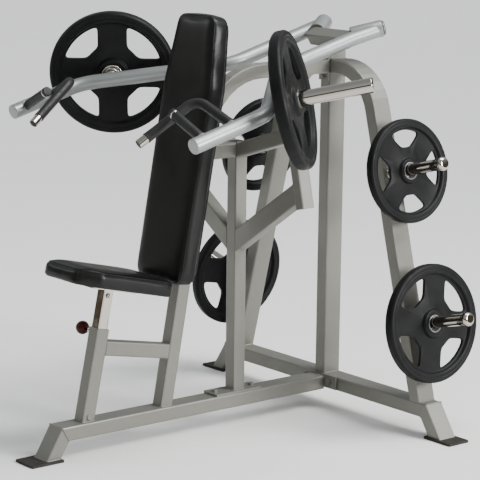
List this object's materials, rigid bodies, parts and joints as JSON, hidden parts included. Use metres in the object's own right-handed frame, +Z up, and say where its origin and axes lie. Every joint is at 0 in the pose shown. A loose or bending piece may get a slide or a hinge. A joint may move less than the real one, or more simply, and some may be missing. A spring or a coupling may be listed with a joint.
{
  "type": "shoulder press machine",
  "caption": "Plate-loaded overhead press with a tilted seat and tall back pad, two separately hinged arms with paired handles, loading pegs and weight plates on storage pegs.",
  "frame": {"origin": "on the floor, under the middle of the machine's bounding box", "axes": "+Z up, seat end towards -Y, rear frame towards +Y, +X across the machine, mirror plane at X = 0 apart from the seat's pull pin"},
  "size_m": [1.4404, 1.518, 1.4406],
  "materials": {
    "silver_powder_coat": "satin powder coat",
    "bright_silver_coat": "semi-gloss silver powder coat",
    "chrome": "polished chrome plate",
    "blackened_steel": "blackened steel",
    "sintered_bronze": "plain sintered bronze",
    "black_plate_coat": "black rubber-like coat on cast iron",
    "black_rubber": "matte black rubber",
    "grip_foam": "matte black grip rubber",
    "black_vinyl": "semi-gloss black upholstery vinyl",
    "plywood": "plain plywood",
    "red_plastic": "dark red moulded plastic"
  },
  "bodies": {
    "frame": {"main_beam": "silver_powder_coat", "front_leg": "silver_powder_coat", "beam_flange": "silver_powder_coat", "rear_cross_beam": "silver_powder_coat", "rear_leg_right": "silver_powder_coat", "rear_leg_left": "silver_powder_coat", "rear_upright": "silver_powder_coat", "side_tube_right": "silver_powder_coat", "side_tube_left": "silver_powder_coat", "back_support_tube": "silver_powder_coat", "back_tube_flange": "silver_powder_coat", "mid_upright": "silver_powder_coat", "mid_base_plate": "silver_powder_coat", "tie_tube": "silver_powder_coat", "rest_wing_right": "silver_powder_coat", "rest_wing_left": "silver_powder_coat", "rest_brace_right": "silver_powder_coat", "rest_brace_left": "silver_powder_coat", "rest_post_right": "silver_powder_coat", "rest_post_left": "silver_powder_coat", "seat_post_outer": "silver_powder_coat", "seat_brace": "silver_powder_coat", "pivot_block": "silver_powder_coat", "storage_horn_lower_right": "chrome", "storage_horn_lower_left": "chrome", "storage_horn_upper_right": "chrome", "storage_horn_upper_left": "chrome", "pivot_shaft_right": "blackened_steel", "pivot_shaft_left": "blackened_steel", "front_foot_pad": "black_rubber", "rear_foot_pad_right": "black_rubber", "rear_foot_pad_left": "black_rubber", "rest_bumper_right": "black_rubber", "rest_bumper_left": "black_rubber", "back_pad": "black_vinyl", "back_board": "plywood"},
    "press_arm_right_body": {"press_arm_right": "bright_silver_coat", "pivot_bush_right": "sintered_bronze", "arm_end_cap_right": "bright_silver_coat", "arm_horn_right": "chrome", "straight_handle_right": "grip_foam", "bent_handle_right": "chrome", "bent_grip_right": "grip_foam"},
    "arm_plate_right_body": {"arm_plate_right": "black_plate_coat"},
    "storage_plate_lower_right_body": {"storage_plate_lower_right": "black_plate_coat"},
    "storage_plate_upper_right_body": {"storage_plate_upper_right": "black_plate_coat"},
    "press_arm_left_body": {"press_arm_left": "bright_silver_coat", "pivot_bush_left": "sintered_bronze", "arm_end_cap_left": "bright_silver_coat", "arm_horn_left": "chrome", "straight_handle_left": "grip_foam", "bent_handle_left": "chrome", "bent_grip_left": "grip_foam"},
    "arm_plate_left_body": {"arm_plate_left": "black_plate_coat"},
    "storage_plate_lower_left_body": {"storage_plate_lower_left": "black_plate_coat"},
    "storage_plate_upper_left_body": {"storage_plate_upper_left": "black_plate_coat"},
    "seat_body": {"seat_post_inner": "chrome", "seat_pad": "black_vinyl"},
    "pull_pin_body": {"pull_pin": "chrome", "ball_knob": "red_plastic"}
  },
  "joints": [
    {"name": "press_arm_right", "type": "hinge", "parent": "frame", "child": "press_arm_right_body", "pos_m": [0.091, 0.5535, 1.347], "axis": [-0.5634, -0.7915, -0.237], "range_deg": [0, 50]},
    {"name": "arm_plate_slide_right", "type": "slide", "parent": "press_arm_right_body", "child": "arm_plate_right_body", "axis": [0.7561, 0.6161, 0.221], "range_m": [0, 0.235]},
    {"name": "storage_plate_lower_slide_right", "type": "slide", "parent": "frame", "child": "storage_plate_lower_right_body", "axis": [0.9677, 0, 0.2521], "range_m": [0, 0.138]},
    {"name": "storage_plate_upper_slide_right", "type": "slide", "parent": "frame", "child": "storage_plate_upper_right_body", "axis": [0.9677, 0, 0.2521], "range_m": [0, 0.138]},
    {"name": "press_arm_left", "type": "hinge", "parent": "frame", "child": "press_arm_left_body", "pos_m": [-0.091, 0.5535, 1.347], "axis": [-0.5634, 0.7915, 0.237], "range_deg": [0, 50]},
    {"name": "arm_plate_slide_left", "type": "slide", "parent": "press_arm_left_body", "child": "arm_plate_left_body", "axis": [-0.7561, 0.6161, 0.221], "range_m": [0, 0.235]},
    {"name": "storage_plate_lower_slide_left", "type": "slide", "parent": "frame", "child": "storage_plate_lower_left_body", "axis": [-0.9677, 0, 0.2521], "range_m": [0, 0.138]},
    {"name": "storage_plate_upper_slide_left", "type": "slide", "parent": "frame", "child": "storage_plate_upper_left_body", "axis": [-0.9677, 0, 0.2521], "range_m": [0, 0.138]},
    {"name": "seat_height", "type": "slide", "parent": "frame", "child": "seat_body", "axis": [0, 0.1994, 0.9799], "range_m": [-0.1, 0.025]},
    {"name": "pull_pin", "type": "slide", "parent": "frame", "child": "pull_pin_body", "axis": [-1, 0, 0], "range_m": [0, 0.014], "stiffness_N_per_m": 600}
  ]
}
